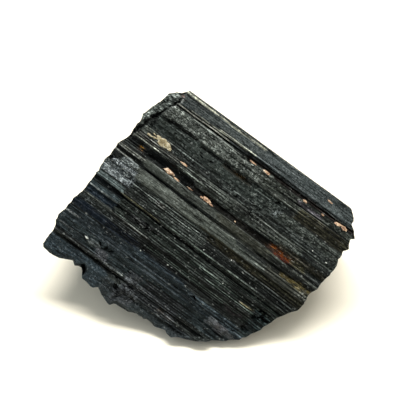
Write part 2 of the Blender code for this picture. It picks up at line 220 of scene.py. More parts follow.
STRETCHES = (
    ((-1, 56, -1.0, 4.0), SLATE, 0.1, 0.75, 0.0),
    ((-1, 25, 1.2, 2.9), "#2c3231", 0.1, 0.75, 0.0),
    # The narrow pale stretches along rib edges are painted highlights, where the light catches the
    # ribs.
    ((-1, 23.5, 0.5, 0.9), "#b0b29d", 0.0, 0.6, 0.05),
    ((12, 23, 2.95, 3.15), "#8d907f", 0.0, 0.5, 0.03),
    ((3, 20, 3.35, 3.6), "#8f917e", 0.0, 0.5, 0.05),
    # The near-black stretches in the grooves are black glass, and partly painted shade.
    ((-2, 56, 3.72, 4.0), GROOVE_BLACK_AND_SHADE, 0.0, 0.8, 0.0),
    ((-2, 16, 4.02, 4.28), "#8c8d80", 0.1, 0.5, 0.05),
    ((-2, 16, 4.3, 4.6), GROOVE_BLACK_AND_SHADE, 0.0, 0.8, 0.0),
    ((21, 56, 4.0, 5.1), "#15110e", 0.3, 0.5, -0.3),
    ((-3, 29, 4.75, 8.7), "#4d534d", 0.75, 0.2, 0.05),
    ((15, 27, 5.2, 8.7), "#4b514b", 0.75, 0.2, 0.05),
    ((27, 56, 5.2, 8.7), "#2d322c", 0.6, 0.35, -0.1),
    ((38, 45, 5.6, 6.6), "#47454a", 0.4, 0.35, 0.05),
    ((33, 54, 6.7, 7.1), GROOVE_BLACK_AND_SHADE, 0.2, 0.6, -0.2),
    ((39, 56, 7.1, 10.3), "#27261a", 0.4, 0.4, 0.0),
    ((-3, 37, 8.6, 13.0), "#2b322e", 0.7, 0.3, 0.0),
    ((0, 9, 8.2, 9.0), "#101311", 0.8, 0.4, -0.25),
    ((10, 17, 8.9, 9.6), "#131614", 0.8, 0.4, -0.25),
    ((17.5, 26, 8.9, 10.2), "#2a2b25", 0.6, 0.5, -0.35),
    ((35, 43, 10.6, 12.6), "#434b4a", 0.8, 0.3, 0.1),
    ((36, 56, 10.5, 15.5), "#333934", 0.7, 0.4, 0.0),
    ((-5, 5, 13.1, 15.0), "#3d423c", 0.4, 0.4, 0.2),
    ((5, 56, 13.0, 15.0), "#272d2a", 0.7, 0.3, 0.0),
    ((-5, 8, 15.0, 17.2), "#30342f", 0.1, 0.5, 0.1),
    ((-5, 9, 15.2, 15.4), "#a3a698", 0.0, 0.5, 0.1),
    ((-5, 12, 15.45, 15.75), GROOVE_BLACK_AND_SHADE, 0.0, 0.7, -0.1),
    ((-5, 14, 15.85, 16.05), "#979a8e", 0.0, 0.5, 0.1),
    ((-4.5, 10, 16.1, 16.4), GROOVE_BLACK_AND_SHADE, 0.0, 0.7, -0.1),
    ((-5, 3, 16.5, 16.7), "#85887c", 0.0, 0.5, 0.1),
    ((-4.5, 13, 16.75, 17.1), GROOVE_BLACK_AND_SHADE, 0.0, 0.7, -0.1),
    ((8, 46, 15.0, 18.2), "#424842", 0.4, 0.4, 0.0),
    ((0, 14, 17.2, 19.7), "#0a0d0c", 0.3, 0.6, -0.2),
    ((14, 44, 18.1, 19.7), "#100f0b", 0.4, 0.5, -0.2),
    ((40, 56, 17.0, 18.6), "#24231a", 0.6, 0.4, 0.1),
    ((43, 56, 19.6, 20.1), GROOVE_BLACK_AND_SHADE, 0.0, 0.8, -0.3),
    ((0.8, 42, 19.9, 21.9), "#373c36", 0.4, 0.35, 0.0),
    ((24, 42, 19.9, 21.9), "#33352c", 0.4, 0.35, 0.0),
    ((0.8, 20, 19.8, 20.05), "#585e57", 0.1, 0.4, 0.05),
    ((40, 56, 20.2, 22.2), "#2c302b", 0.5, 0.4, 0.0),
    ((3, 19, 22.05, 22.4), GROOVE_BLACK_AND_SHADE, 0.0, 0.7, -0.1),
    ((19, 56, 22.05, 22.5), "#1d1f19", 0.5, 0.5, -0.1),
    ((0.8, 31, 22.6, 25.5), "#50564f", 0.4, 0.35, 0.05),
    ((14, 31, 22.6, 25.5), "#464c45", 0.4, 0.35, 0.05),
    ((29, 46, 23.3, 25.0), "#454b45", 0.4, 0.35, 0.0),
    ((41, 56, 22.7, 25.4), "#2b2d27", 0.5, 0.4, 0.0),
    ((22, 56, 25.2, 27.3), "#27271b", 0.5, 0.4, -0.1),
    ((-8, 0.8, 20.2, 20.45), "#767970", 0.1, 0.7, 0.1),
    ((-8, 0.8, 20.7, 20.95), "#7f827a", 0.0, 0.5, 0.1),
    ((-8, 0.8, 21.1, 21.9), "#0e1110", 0.1, 0.7, -0.1),
    ((-8, -1.5, 22.1, 22.4), "#676a62", 0.1, 0.4, 0.15),
    ((-8, -2.5, 22.6, 23.4), "#171b1b", 0.3, 0.6, 0.0),
    ((-3.6, 0.4, 22.2, 24.2), "#6a7373", 0.8, 0.15, -0.1),
    ((-6.4, 1.6, 24.0, 25.6), "#788184", 0.8, 0.15, -0.2),
    ((-8.0, 2.6, 25.4, 28.4), "#677072", 0.8, 0.15, -0.3),
    ((2, 25, 25.6, 29.6), "#363d38", 0.4, 0.5, 0.0),
    ((9.8, 12.2, 26.5, 27.4), "#696c67", 0.3, 0.3, 0.2),
    ((-8, 1.0, 28.7, 30.3), "#4e5b5a", 0.1, 0.5, -0.2),
    ((-8, 1.6, 30.4, 31.7), "#1b2225", 0.0, 0.7, -0.5),
    ((-8, 2, 31.9, 33.0), "#3a474a", 0.1, 0.6, -0.3),
    ((-8, 1.5, 33.0, 33.25), "#7f8886", 0.0, 0.5, -0.3),
    ((-8, 2, 33.3, 35.1), "#15212a", 0.1, 0.7, -0.4),
    ((1.4, 26, 30.3, 30.6), "#8b8a6a", 0.0, 0.4, 0.1),
    ((13, 54, 29.8, 31.0), "#2f3631", 0.5, 0.4, 0.1),
    ((1, 24, 30.7, 31.2), "#060707", 0.0, 0.8, -0.15),
    ((2, 54, 31.2, 35.2), "#232b26", 0.2, 0.5, 0.0),
    ((6, 13, 32.7, 34.3), "#434746", 0.9, 0.2, 0.1),
    ((-6, 13, 35.3, 35.6), "#4c514b", 0.1, 0.4, 0.1),
    ((27, 49, 35.8, 36.1), "#5a615c", 0.1, 0.4, 0.1),
    ((41, 44.3, 34.0, 34.5), "#8b8768", 0.2, 0.4, 0.1),
    ((14, 48, 36.2, 38.6), "#151b17", 0.2, 0.5, -0.1),
    ((-8, 11, 35.8, 37.6), "#2d3332", 0.6, 0.3, 0.0),
    # The blue-grey colours of the lower stretches are partly a painted reflection of the cool
    # window in front to the left.
    ((-9, 12, 37.6, 39.7), "#0c1722", 0.1, 0.7, 0.0),
    ((12, 27, 38.6, 40.6), "#1a242a", 0.1, 0.7, 0.0),
    ((-9, 48, 39.9, 43.2), "#20292d", 0.4, 0.5, 0.0),
    ((-9, -3.5, 41.5, 41.85), "#6e7371", 0.1, 0.4, 0.1),
    ((-9, 48, 43.2, 46.8), "#20292b", 0.5, 0.4, 0.0),
    ((-9, -3.5, 44.9, 45.3), "#596060", 0.1, 0.4, 0.1),
    ((1.2, 4.4, 43.9, 45.7), "#4a5252", 0.2, 0.4, 0.35),
    ((4.6, 7.6, 44.9, 47.2), "#3d4044", 0.8, 0.2, 0.1),
    ((-8, 13, 47.0, 47.4), "#646b6a", 0.2, 0.4, 0.1),
    ((-4, 14, 47.8, 48.3), "#07090b", 0.1, 0.7, -0.2),
    ((-9, 10, 48.6, 55.0), "#263238", 0.75, 0.35, 0.0),
    ((10, 36, 49.5, 56.0), "#262d2f", 0.7, 0.4, 0.0),
    ((14.2, 18.2, 44.8, 47.8), "#33373a", 0.9, 0.3, 0.1),
    ((15.0, 20.0, 47.4, 49.2), "#383b3d", 0.9, 0.3, 0.1),
    ((14.0, 19.0, 48.8, 51.8), "#33373a", 0.9, 0.3, 0.1),
    ((19, 30, 44.4, 49.6), "#2a2e30", 0.3, 0.5, -0.1),
    ((36.8, 39.4, 42.0, 44.2), "#484c4e", 0.4, 0.4, 0.35),
    ((38.6, 42.4, 42.4, 44.6), "#505154", 0.4, 0.4, 0.3),
    ((41.6, 44.8, 42.8, 44.2), "#494c4e", 0.4, 0.4, 0.25),
    ((35, 46, 44.7, 45.1), "#08090a", 0.1, 0.6, -0.2),
    ((45.5, 52, 33.5, 41.5), "#1d2727", 0.2, 0.7, 0.0),
)

# Stains in the grooves, thin enough to have no height.
RUST = "#63270e"
ORANGE = "#6b3d1c"
OCHRE = "#584b12"
STAINS = (
    ((37.6, 46.0, 17.8, 19.4), "#483522", 0.7),
    ((38.4, 45.4, 18.2, 19.6), ORANGE, 0.85),
    ((40.6, 44.8, 19.0, 20.0), RUST, 0.95),
    ((44.5, 50.0, 18.2, 19.6), "#3a3820", 0.7),
    ((-2.7, -1.0, 17.9, 18.8), "#94691a", 0.95),
    ((-2.2, -0.3, 18.7, 19.3), "#4e1e08", 0.9),
    ((-1.1, -0.3, 1.7, 2.4), "#6a4038", 0.8),
    ((45.4, 48.2, 21.7, 23.2), OCHRE, 0.6),
    ((49.2, 53.4, 21.6, 23.4), OCHRE, 0.55),
    ((20.8, 23.8, 9.2, 9.9), "#57431f", 0.85),
    ((28.0, 40.0, 25.2, 27.2), "#2a2615", 0.8),
    ((-1.2, 0.8, 17.8, 18.8), "#0d1418", 0.8),
    ((25.0, 30.0, 47.8, 49.2), "#241e15", 0.6),
    ((38.8, 43.6, 37.0, 38.3), "#241d1f", 0.6),
)

# Sets of sharp parallel ribs, painted bright on their crests as highlights and dark between them as
# shade, as (along from, to, across from, to), pitch and strength.
COMBS = (
    ((-1, 24, 0.7, 1.7), 0.45, 0.6),
    ((10, 30, 2.7, 3.9), 0.42, 0.9),
    ((29, 54, 5.6, 10.5), 0.8, 0.5),
    ((26, 56, 13.6, 18.0), 0.8, 0.6),
    ((-5, 16, 12.6, 13.4), 0.5, 0.8),
    ((4, 26, 13.4, 15.4), 0.62, 0.7),
    ((7, 22, 15.2, 17.4), 0.55, 1.0),
    ((18, 40, 16.0, 18.6), 0.7, 0.7),
    ((-7, 1.2, 17.0, 20.4), 0.55, 0.9),
    ((38, 56, 19.8, 33.5), 0.8, 0.7),
    ((2, 52, 26.0, 30.2), 0.62, 0.9),
    ((2, 52, 30.6, 39.0), 0.6, 1.0),
    ((-9, 1.5, 30.4, 31.9), 0.5, 0.8),
    ((12, 48, 39.5, 42.5), 0.8, 0.5),
    ((19, 34, 44.0, 50.0), 0.6, 1.0),
    ((-8, 14, 46.0, 48.6), 0.7, 0.5),
)

# Where the finish is even, without fine lines, and how even it is.
EVEN = (
    ((-1, 56, -1.0, 3.9), 0.85), ((0.6, 44, 19.9, 21.9), 0.85), ((0.8, 36, 22.6, 25.5), 0.85),
    ((34, 50, 23.0, 25.6), 0.85), ((-8, 1.5, 28.7, 30.3), 0.7), ((-8, 2, 31.9, 35.1), 0.6),
    ((-9, 14, 37.6, 39.8), 0.85), ((12, 27, 38.6, 41.0), 0.7), ((-9, 40, 41.0, 46.5), 0.35),
    ((-9, 12, 48.8, 55.0), 0.5), ((12, 36, 51.0, 56.0), 0.6), ((45.5, 52, 33.5, 41.5), 0.7),
    ((36.8, 44.6, 41.9, 44.6), 0.8), ((-4, 26, 9.8, 13.0), 0.3),
)

# Pits and lumps as (along, across, length, width, height).
PITS = (
    (-5.8, 24.1, 0.8, 0.6, -0.8), (-4.4, 26.6, 0.6, 0.5, -0.4), (4.3, 51.4, 1.1, 1.3, -1.3),
    (48.0, 33.5, 1.6, 0.8, -0.7), (48.8, 35.6, 1.7, 0.7, -0.7), (46.6, 36.6, 1.2, 0.7, -0.4),
    (45.7, 40.0, 1.3, 1.0, -0.9), (37.2, 42.4, 0.8, 0.5, -0.4), (14.2, 45.5, 1.1, 0.7, -0.5),
    (9.6, 47.0, 1.1, 0.7, -0.5), (0.4, 44.3, 1.6, 0.8, 0.5), (2.0, 45.0, 1.2, 0.7, 0.4),
    (16.4, 47.2, 1.5, 1.0, 0.5), (17.4, 49.4, 1.3, 1.0, 0.4), (15.0, 50.2, 1.4, 0.9, 0.4),
    (39.5, 43.0, 1.6, 0.8, 0.4), (43.4, 42.8, 1.4, 0.8, 0.4), (-1.6, 9.6, 2.2, 1.0, 0.3),
    (3.4, 10.8, 2.0, 0.9, 0.3), (36.5, 11.5, 1.4, 0.7, 0.25), (39.5, 11.6, 1.2, 0.6, 0.25),
    (10.6, 26.8, 1.1, 0.6, 0.3), (28.5, 37.4, 1.5, 0.6, -0.3), (22.8, 43.9, 1.5, 0.6, -0.35),
    (30.5, 33.2, 1.6, 0.6, -0.3), (24.2, 34.0, 1.4, 0.6, 0.3), (19.6, 35.2, 1.2, 0.5, 0.25),
)

# Crushed patches that grains have dropped out of, as (along, across, length, width, level);
# the lower the level, the more has gone.
PITTED = (
    (5.6, 43.4, 3.2, 1.4, -0.05), (6.0, 47.4, 1.6, 0.7, 0.0), (-5.6, 24.6, 1.6, 0.9, 0.0),
    (4.3, 51.6, 1.2, 1.2, -0.1), (31.5, 40.6, 1.8, 1.0, 0.15), (47.5, 35.0, 3.2, 2.4, 0.2),
    (43.5, 41.5, 3.0, 1.3, 0.2), (2.5, 34.6, 6.0, 1.6, 0.35), (18.5, 9.2, 2.0, 0.6, 0.3),
    (20.5, 5.2, 2.6, 0.6, 0.1), (15.0, 48.5, 3.2, 3.2, 0.35), (-4.2, 9.0, 2.2, 7.0, 0.3),
    (10.0, 33.5, 5.0, 1.0, 0.3), (30.0, 9.0, 12.0, 2.2, 0.52), (28.0, 14.0, 20.0, 2.6, 0.52),
    (8.0, 11.0, 9.0, 1.8, 0.5), (12.0, 28.3, 7.0, 1.5, 0.5),
)

EDGE_WIDTH = 0.45               # a stretch narrower than this is the edge of a single rib, painted as its highlight or shade, mm
BLOOM = 0.87                    # the share of its own colour that a thin film on black gives back


def linear(hex_colour):
    """An sRGB hex colour as linear red, green and blue."""
    channels = [int(hex_colour[start:start + 2], 16) / 255.0 for start in (1, 3, 5)]
    return tuple(c / 12.92 if c <= 0.04045 else ((c + 0.055) / 1.055) ** 2.4 for c in channels)


def laid_over(colour, tone, share, strength=1.0):
    """The colour with a share of another one, given in hex, laid over it."""
    return colour + share[..., None] * (strength * np.array(linear(tone)) - colour)


def finish_of(along, across):
    """Colour, grain, gloss, evenness and rise over the widest side."""
    colour = np.zeros(along.shape + (3,)) + linear("#1c201e")
    grain = np.full(along.shape, 0.45)
    gloss = np.full(along.shape, 0.45)
    rise = np.zeros(along.shape)
    even = np.zeros(along.shape)
    level = across - drift_of(along, across)
    for number, (place, tone, granular, glossy, raised) in enumerate(STRETCHES):
        inside = patch(along, level, place, 40.0 + number)
        if place[3] - place[2] < EDGE_WIDTH:
            # The edge of a rib is chipped, so its painted highlight or shade shows in pieces.
            pieces = lumps(along * 0.5, across, 0.7, 440.0 + number)
            inside *= 0.5 + 0.5 * smooth(-0.25, 0.1, pieces)
        colour = laid_over(colour, tone, inside)
        grain += inside * (granular - grain)
        gloss += inside * (glossy - gloss)
        rise += inside * raised
    for number, (place, strength) in enumerate(EVEN):
        even = np.maximum(even, strength * patch(along, level, place, 340.0 + number))
    # The crumbled rim beyond the crevice, and the pale edge of the crevice itself.
    rim = rim_part(along, across)
    colour = laid_over(colour, "#525a54", 0.95 * rim)
    colour *= np.exp(1.15 * rim * chips(along, across, 1.8, 23.0))[..., None]
    grain += rim * (0.5 - grain)
    gloss = np.minimum(gloss, 1.0 - 0.7 * rim)
    edge = (past_crevice(along, across) + 0.3) / 0.22
    edge = np.exp(-edge * edge) * band(1.8, 2.6, 6.0, 7.5, across)
    colour = laid_over(colour, "#8f958f", 0.85 * edge)
    # Streaks along the crystal, and soft clouds over them.
    streak = 0.75 * ribs(along, across, 0.42, 16.0, 3.0) + 0.6 * ribs(along, across, 1.1, 26.0, 7.0)
    tone = 0.95 * streak * (1.0 - 0.75 * grain) * (1.0 - 0.8 * even)
    tone += 0.5 * lumps(along, across * 1.8, 2.6, 21.0) * (1.0 - 0.5 * even)
    colour *= np.exp(tone)[..., None]
    for number, (place, pitch, strength) in enumerate(COMBS):
        inside = strength * patch(along, level, place, 240.0 + number, 1.0, 0.25)
        crests_and_glints = comb(along, level, pitch, 270.0 + number)
        # Painted highlights on the crests of the ribs, and painted shade between them.
        colour *= (1.0 + inside * (3.9 * crests_and_glints ** 1.5 - 0.88))[..., None]
        rise += 0.16 * inside * (crests_and_glints - 0.3)
    for number, (place, tone, strength) in enumerate(STAINS):
        inside = strength * patch(along, level, place, 140.0 + number, 0.5, 0.2)
        spots = lumps(along * 0.5, across, 0.6, 160.0 + number)
        inside *= 0.15 + 0.85 * smooth(-0.25, 0.2, spots)
        colour = laid_over(colour, tone, inside, 1.0 / BLOOM)
    # The open crevice and the pits are painted dark, as the shade inside them.
    hollow_shade = np.maximum(gash_part(along, across), pit_part(along, across))
    colour *= (1.0 - 0.92 * hollow_shade)[..., None]
    return colour * BLOOM, grain, gloss, even, rise


def drift_of(along, across):
    """Ribs in the middle of the side run down a little towards the right."""
    return 0.015 * along * band(14.0, 24.0, 36.0, 46.0, across)


# Ribs all over the widest side, as (pitch, length, height) in mm and a seed; the fine
# ones are lost where it is crushed.
FINE_RIBS = ((0.6, 18.0, 0.10, 11.0), (0.38, 10.0, 0.06, 15.0))
BROAD_RIB = (1.9, 26.0, 0.12, 19.0)
SPLIT_HEIGHT = 0.12             # of the low steps where layers have split off part of the way
PIT_DEPTH = 0.6


def face_out(along, across, grain, rise):
    """How far the widest side stands out, with everything that is on it."""
    level = across - drift_of(along, across) + 0.12 * soft_noise(along / 14.0, across / 2.6, 61.0)
    worn = 0.85 + 0.3 * soft_noise(along / 11.0, across, 8.0)
    out = crown(across) + table(LEDGES, level) * worn + rise
    for pitch, run, height, seed in FINE_RIBS:
        out += height * (1.0 - 0.7 * grain) * ribs(along, level, pitch, run, seed)
    pitch, run, height, seed = BROAD_RIB
    out += height * ribs(along, level, pitch, run, seed)
    layer = soft_noise(along / 9.0, level / 0.9, 27.0)
    layer += 0.5 * soft_noise(along / 3.0, level / 0.9, 29.0)
    out += SPLIT_HEIGHT * (smooth(0.15, 0.22, layer) - smooth(0.45, 0.52, -layer))
    rough = 0.15 * chips(along, across, 1.3, 33.0) + 0.14 * chips(along, across, 0.6, 37.0)
    out += rough * (0.12 + 0.88 * grain)
    for along_middle, across_middle, length, width, height in PITS:
        gap = np.hypot((along - along_middle) / length, (across - across_middle) / width)
        out += height * (1.0 - smooth(0.35, 1.0, gap + 0.35 * chips(along, across, 0.9, 71.0)))
    return out - PIT_DEPTH * pit_part(along, across)


def pit_part(along, across):
    """Where small grains have dropped out of the crushed patches, from 0 to 1."""
    total = np.zeros(along.shape)
    holes = chips(along, across * 1.3, 0.75, 75.0)
    holes += 0.35 * soft_noise(along / 1.7, across / 1.2, 77.0)
    for along_middle, across_middle, length, width, level in PITTED:
        gap = np.hypot((along - along_middle) / length, (across - across_middle) / width)
        inside = 1.0 - smooth(0.6, 1.1, gap)
        total = np.maximum(total, inside * smooth(level, level + 0.12, holes))
    return total


def past_crevice(along, across):
    """How far to the left of the crevice that ends the grown side, in mm."""
    jag = 0.3 * soft_noise(across / 1.9, 0.0, 81.0) + 0.2 * soft_noise(across / 0.7, 0.0, 83.0)
    return table(CREVICE, across) + jag - along


def rim_part(along, across):
    """1 on the crumbled rim left of the crevice, 0 on the grown side."""
    ends = band(1.2, 2.2, 16.8, 18.6, across)
    return ends * smooth(-0.1, 0.25, past_crevice(along, across))


def gash_part(along, across):
    """1 in the open part of the crevice."""
    width = 0.22 + 0.3 * smooth(8.5, 10.8, across)
    away = (past_crevice(along, across) - width) / width
    return band(2.0, 2.8, 17.0, 19.0, across) * np.exp(-away ** 4)


def crevice_drop(along, across):
    """How much lower the crumbled rim lies, left of the grown side's own edge."""
    drop = RIM_DROP + RIM_SLOPE * np.maximum(past_crevice(along, across), 0.0)
    drop -= 0.55 * chips(along, across, 2.2, 85.0) + 0.3 * chips(along, across, 0.9, 87.0)
    return rim_part(along, across) * drop + GASH_DEPTH * gash_part(along, across)


# The broken underside: hollows over the ground, and the worn spots the stone stands on.
HOLLOW = 1.2
HOLLOW_SIZE = 8.0
# As (x, y, radius); flat over the first share of the radius, and gone at the second.
FEET = ((-15.0, 14.0, 5.5), (-6.0, 24.5, 5.0), (29.0, -3.0, 6.0), (-3.0, -21.5, 6.0))
FOOT_FLAT = 0.65
FOOT_RISE = 1.35


def ground_under(world_x, world_y):
    """How high over the ground the underside has broken away."""
    height = HOLLOW * (1.0 + lumps(world_x, world_y, HOLLOW_SIZE, 91.0, 4))
    height += 0.25 * lumps(world_x, world_y, 1.6, 95.0)
    for foot_x, foot_y, radius in FEET:
        gap = np.hypot(world_x - foot_x, world_y - foot_y)
        height *= smooth(FOOT_FLAT * radius, FOOT_RISE * radius, gap)
    return np.maximum(height, 0.0)


def rest_on_ground(along, across, out, clear=0.0):
    """Raise what would be below the broken underside up to it."""
    turn = np.array(LIE)
    for _ in range(4):
        local = np.stack((along, -across, out), axis=-1)
        world = local @ turn.T + np.array(FACE_CORNER)
        short = ground_under(world[..., 0], world[..., 1]) + clear - world[..., 2]
        out = out + np.maximum(short, 0.0) / turn[2, 2]
    return out


def plain_side(across):
    """How far out the two sides behind lie, which meet at the rounded keel."""
    keel_across, keel_out = KEEL
    upper_part = across / keel_across
    lower_part = (FACE_WIDTH - across) / (FACE_WIDTH - keel_across)
    upper_start = float(crown(0.0)) - EDGE_THICKNESS
    lower_start = float(crown(FACE_WIDTH)) - EDGE_THICKNESS
    upper = upper_start + (keel_out - upper_start) * upper_part
    lower = lower_start + (keel_out - lower_start) * lower_part
    upper -= SIDE_BULGE * 4.0 * upper_part * np.maximum(0.0, 1.0 - upper_part)
    lower -= SIDE_BULGE * 4.0 * lower_part * np.maximum(0.0, 1.0 - lower_part)
    return 0.5 * (upper + lower + np.hypot(upper - lower, 2.0 * KEEL_ROUND))


# Ribs behind, in the same way as the fine ribs above.
BEHIND_RIBS = ((4.2, 40.0, 0.5, 103.0), (1.9, 26.0, 0.34, 107.0), (1.0, 15.0, 0.2, 109.0))
SPLIT_BEHIND = 0.3              # height of the steps of the split layers there
CLIMB = 0.9                     # what a steep side adds to its width for each mm that it rises


def side_out(along, across):
    """The sides behind with their ribs, split layers and crushed patches."""
    out = plain_side(across)
    keel_across = KEEL[0]
    away = smooth(0.0, 3.0, across) * smooth(0.0, 3.0, FACE_WIDTH - across)
    steep = 1.0 + 0.9 * (1.0 - smooth(keel_across - 2.0, keel_across + 2.0, across))
    # Ribs are counted along the side's own surface, which climbs steeply above the keel.
    over = across - CLIMB * out
    relief = 0.35 * lumps(along * 0.6, over, 6.0, 113.0)
    for pitch, run, height, seed in BEHIND_RIBS:
        relief += height * ribs(along, over, pitch, run, seed)
    layer = soft_noise(along / 12.0, over / 1.9, 115.0)
    layer += 0.5 * soft_noise(along / 4.0, over / 1.9, 116.0)
    relief += SPLIT_BEHIND * (smooth(0.12, 0.2, layer) - smooth(0.4, 0.48, -layer))
    crushed = 0.4 * chips(along, over, 2.0, 119.0) + 0.2 * chips(along, over, 0.9, 121.0) - 0.3
    relief += crushed * smooth(0.05, 0.25, lumps(along, over, 9.0, 117.0))
    return out + away * steep * relief


# ==== The crystal: its surface ===============================================
# Its skin is grown and striated along its length, and snapped across in small ledges
# at both ends. It is one closed grid that follows the striations on both long
# surfaces, with walls of broken crystal at the ends and along the edges.

FRONT_LINES = 359               # striation lines over the widest side; odd, as every other
STATIONS = 130                  # one goes on behind
WALL_ROWS = 46
END_LUMP = 2.0                  # height of the lumps on a broken end
END_LUMP_SIZE = 7.5
END_THICK = 12.0                # an end thinner than this has lower lumps
LEDGES_A_LUMP = 3.0
LEFT_BREAK = 301.0              # seeds of the two breaks
RIGHT_BREAK = 331.0


def ragged_edge(distance, seed):
    """Chips in a rim, mm: rough stretches and nearly straight ones."""
    rough = 0.35 + 0.65 * smooth(-0.3, 0.4, soft_noise(distance / 5.0, 0.0, seed))
    chip = 0.34 * soft_noise(distance / 1.9, 0.0, seed + 1.0, faceted=True)
    chip += 0.24 * soft_noise(distance / 0.75, 0.0, seed + 2.0, faceted=True)
    return rough * chip


def edge_shift(along, across):
    """How far a spot moves across, for the ragged lower edge and the jutting upper one."""
    ragged = table(LOWER_RIM, along) - FACE_WIDTH - RIM_INSET + ragged_edge(along, 213.0)
    shift = ragged * smooth(FACE_WIDTH - RIM_REACH, FACE_WIDTH, across)
    return shift - UPPER_OVERHANG * (1.0 - smooth(0.0, RIM_REACH, across))


def make_long_surfaces():
    """Points (along, across, out) on the widest side and behind it, by line and station."""
    line = np.linspace(0.0, FACE_WIDTH, FRONT_LINES)
    left = table(LEFT_RIM, line) + RIM_INSET + ragged_edge(line, 201.0)
    right = table(RIGHT_RIM, line) - RIM_INSET - ragged_edge(line, 207.0)
    part = np.linspace(0.0, 1.0, STATIONS)
    along = left[:, None] + (right - left)[:, None] * part[None, :]
    across = np.repeat(line[:, None], STATIONS, axis=1)
    colour, grain, gloss, even, rise = finish_of(along, across)
    out = face_out(along, across, grain, rise) - crevice_drop(along, across)
    out = rest_on_ground(along, across, out, LOWER_LIP)
    front = np.stack((along, across + edge_shift(along, across), out), axis=-1)

    # The lines behind are spaced evenly over the two steep sides.
    profile = np.linspace(0.0, FACE_WIDTH, 2000)
    depth = plain_side(profile)
    run = np.concatenate(([0.0], np.cumsum(np.hypot(np.diff(profile), np.diff(depth)))))
    back_line = np.interp(np.linspace(0.0, run[-1], (FRONT_LINES + 1) // 2), run, profile)
    deep = -plain_side(back_line)
    left_back = table(LEFT_RIM, back_line) + END_INSET * deep
    right_back = table(RIGHT_RIM, back_line) - END_INSET * deep
    along = left_back[:, None] + (right_back - left_back)[:, None] * part[None, :]
    across = np.repeat(back_line[:, None], STATIONS, axis=1)
    out = rest_on_ground(along, across, side_out(along, across))
    out = rest_on_ground(along, across, np.minimum(out, crown(across) - THINNEST))
    back = np.stack((along, across + edge_shift(along, across), out), axis=-1)
    return front, back, (colour, grain, gloss, even)


def break_at(across, out, seed):
    """The relief of a break, the number of each spot's ledge, and 1 on the drop to the next."""
    # The break climbs and drops in steps from one bundle of needles to the next.
    bundle = 0.45 * soft_noise(across / 3.4, out / 4.6, seed, faceted=True)
    bundle += 0.6 * lumps(across, out, END_LUMP_SIZE, seed + 1.0, 2)
    level = bundle * LEDGES_A_LUMP
    ledge = np.floor(level)
    drop = smooth(0.82, 1.0, level - ledge)
    relief = 0.65 + 0.3 * bundle + 1.15 * (ledge + drop) / LEDGES_A_LUMP
    relief += 0.24 * chips(across, out, 2.6, seed + 4.0)
    relief += 0.18 * chips(across, out, 1.3, seed + 6.0)
    return relief, ledge, drop


def make_wall(front_edge, back_edge, inward=0.0, seed=0.0):
    """Rows of points between two edges, moved along the crystal by the relief of a break."""
    rows = []
    thickness = np.linalg.norm(front_edge - back_edge, axis=-1)
    for step in range(1, WALL_ROWS):
        part = step / WALL_ROWS
        row = front_edge + (back_edge - front_edge) * part
        across, out = row[:, 1], row[:, 2]
        swell = np.minimum(1.0, thickness / END_THICK) * math.sin(math.pi * part) ** 0.6
        row[:, 0] += inward * END_LUMP * swell * break_at(across, out, seed)[0]
        row[:, 2] = rest_on_ground(row[:, 0], row[:, 1], row[:, 2])
        rows.append(row)
    return rows


def grid_faces(indices):
    """Four-sided faces over a grid of point numbers."""
    return np.stack((indices[:-1, :-1], indices[1:, :-1], indices[1:, 1:], indices[:-1, 1:]),
                    axis=-1).reshape(-1, 4)


def halving_faces(fine, coarse):
    """Three-sided faces between a row of points and one with every other point."""
    left = np.stack((fine[:-2:2], fine[1:-1:2], coarse[:-1]), axis=-1)
    middle = np.stack((fine[1:-1:2], coarse[1:], coarse[:-1]), axis=-1)
    right = np.stack((fine[1:-1:2], fine[2::2], coarse[1:]), axis=-1)
    return np.concatenate((left, middle, right))


def finish_behind(along, across, out, end):
    """Colour, grain, gloss and evenness of the other sides, with 1 as end on a broken end."""
    grown = 1.0 - end
    over = across - CLIMB * out
    slate = smooth(0.1, 0.5, soft_noise(along / 30.0, over / 5.0, 409.0)) * grown
    earth = smooth(0.25, 0.6, lumps(along, over, 7.0, 411.0))
    colour = np.zeros(along.shape + (3,)) + linear("#282d2c")
    colour = laid_over(laid_over(colour, "#363b3a", slate), "#3d3626", 0.6 * earth)
    streak = 0.75 * ribs(along, over, 0.7, 18.0, 405.0) + 0.6 * ribs(along, over, 2.2, 30.0, 407.0)
    cloud = lumps(along + 1.3 * end * out, over, 4.0, 413.0, 4)
    # Each ledge of a broken end is tilted its own way, so each is painted its own shade of light,
    # and the drop to the next ledge is painted in shade.
    seeds = np.where(along < 0.5 * (np.min(along) + np.max(along)), LEFT_BREAK, RIGHT_BREAK)
    _, ledge, drop = break_at(across, out, seeds)
    facing = 1.3 * (random_at(ledge, 0.0, seeds + 9.0) - 0.5)
    facing += 0.5 * chips(across, out, 2.6, seeds + 4.0) - 2.4 * drop * (1.0 - drop)
    colour *= BLOOM * np.exp(0.8 * streak * grown + 0.6 * cloud + end * facing)[..., None]
    grain = smooth(-0.1, 0.3, lumps(along, over, 6.0, 403.0)) * (1.0 - 0.5 * slate) * grown
    grain += end * (0.25 + 0.5 * smooth(-0.1, 0.4, lumps(-across, out, 5.0, 415.0)))
    return colour, grain, 0.25 - 0.2 * grain, np.maximum(0.4 * slate, 0.72 * end)


def add_mesh(name, points, faces):
    """One mesh of these points, in metres, and faces."""
    mesh = bpy.data.meshes.new(name)
    mesh.from_pydata(points, [], faces)
    piece = bpy.data.objects.new(name, mesh)
    bpy.context.scene.collection.objects.link(piece)
    return piece


